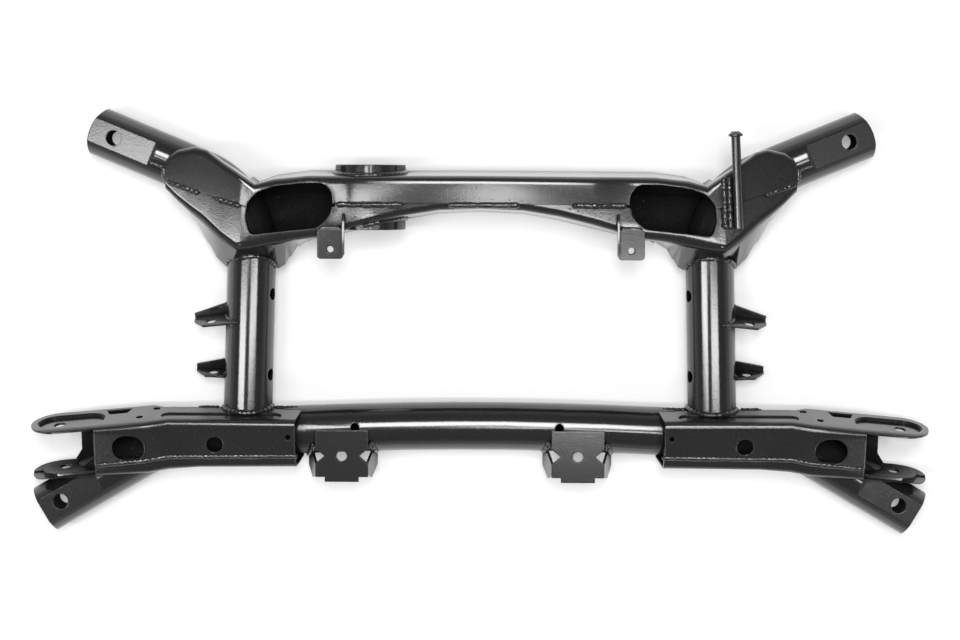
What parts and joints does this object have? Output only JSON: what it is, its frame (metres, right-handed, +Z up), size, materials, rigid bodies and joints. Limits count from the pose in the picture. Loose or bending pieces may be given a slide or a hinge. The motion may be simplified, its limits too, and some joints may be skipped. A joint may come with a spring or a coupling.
{
  "type": "rear suspension subframe",
  "caption": "Welded rear suspension subframe: bowed cross tube, bent side tubes, pressed front beam with a bush sleeve, forked link brackets and differential brackets in gloss black paint.",
  "frame": {"origin": "midway between the two rear body bolts, in the plane the tubes lie on", "axes": "+X to the right across the vehicle as seen from above, +Y from the rear body bolts to the front body bolts, +Z up from the plane the tubes lie on; the body seats face -Z"},
  "size_m": [1.1096, 0.5226, 0.0992],
  "materials": {
    "gloss_black_paint": "gloss"
  },
  "bodies": {
    "root": {"rear_cross_tube": "gloss_black_paint", "side_tube_left": "gloss_black_paint", "side_tube_right": "gloss_black_paint", "front_upper_shell": "gloss_black_paint", "front_lower_shell": "gloss_black_paint", "bush_sleeve": "gloss_black_paint", "link_upper_shell_left": "gloss_black_paint", "link_upper_shell_right": "gloss_black_paint", "link_lower_shell_left": "gloss_black_paint", "link_lower_shell_right": "gloss_black_paint", "link_ear_front_left": "gloss_black_paint", "link_ear_front_right": "gloss_black_paint", "link_ear_rear_left": "gloss_black_paint", "link_ear_rear_right": "gloss_black_paint", "drive_bracket_left": "gloss_black_paint", "drive_bracket_right": "gloss_black_paint", "beam_tab_left": "gloss_black_paint", "beam_tab_right": "gloss_black_paint", "beam_tab_nuts": "gloss_black_paint", "hanger_pin": "gloss_black_paint"}
  },
  "joints": []
}
